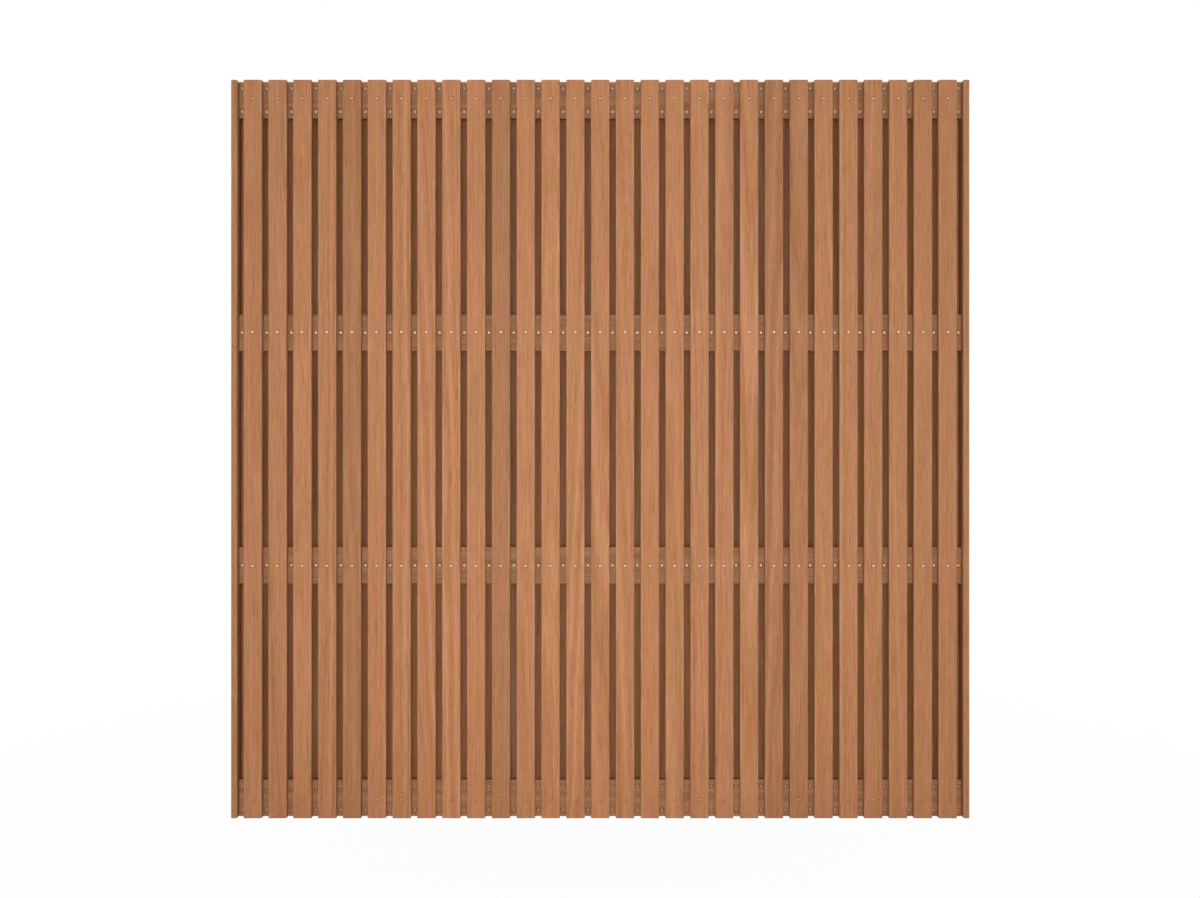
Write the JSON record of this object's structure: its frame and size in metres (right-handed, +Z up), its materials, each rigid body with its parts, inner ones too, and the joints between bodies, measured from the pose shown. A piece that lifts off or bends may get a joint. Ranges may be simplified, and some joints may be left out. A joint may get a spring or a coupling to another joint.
{
  "type": "slatted fence panel",
  "caption": "Square double-sided fence panel: narrow upright hardwood slats screwed to level rails, with staggered slats behind that close the gaps.",
  "frame": {"origin": "middle of the bottom edge, in the middle of the rails' thickness", "axes": "+Z up along the slats, +X along the panel to the right as seen from the front, front slats on the -Y side"},
  "size_m": [1.8, 0.0466, 1.8],
  "materials": {
    "slat_wood": "planed hardwood, oiled, satin",
    "rail_wood": "planed hardwood, oiled, satin",
    "screw_steel": "stainless steel, satin"
  },
  "bodies": {
    "root": {"front_slat_01": "slat_wood", "front_slat_02": "slat_wood", "front_slat_03": "slat_wood", "front_slat_04": "slat_wood", "front_slat_05": "slat_wood", "front_slat_06": "slat_wood", "front_slat_07": "slat_wood", "front_slat_08": "slat_wood", "front_slat_09": "slat_wood", "front_slat_10": "slat_wood", "front_slat_11": "slat_wood", "front_slat_12": "slat_wood", "front_slat_13": "slat_wood", "front_slat_14": "slat_wood", "front_slat_15": "slat_wood", "front_slat_16": "slat_wood", "front_slat_17": "slat_wood", "front_slat_18": "slat_wood", "front_slat_19": "slat_wood", "front_slat_20": "slat_wood", "front_slat_21": "slat_wood", "front_slat_22": "slat_wood", "front_slat_23": "slat_wood", "front_slat_24": "slat_wood", "front_slat_25": "slat_wood", "front_slat_26": "slat_wood", "front_slat_27": "slat_wood", "front_slat_28": "slat_wood", "front_slat_29": "slat_wood", "back_slats": "slat_wood", "left_back_end_slat": "slat_wood", "right_back_end_slat": "slat_wood", "left_edge_slat": "slat_wood", "right_edge_slat": "slat_wood", "rail_1": "rail_wood", "rail_2": "rail_wood", "rail_3": "rail_wood", "rail_4": "rail_wood", "slat_screws": "screw_steel", "rail_screws": "screw_steel", "left_edge_screws": "screw_steel", "right_edge_screws": "screw_steel"}
  },
  "joints": []
}
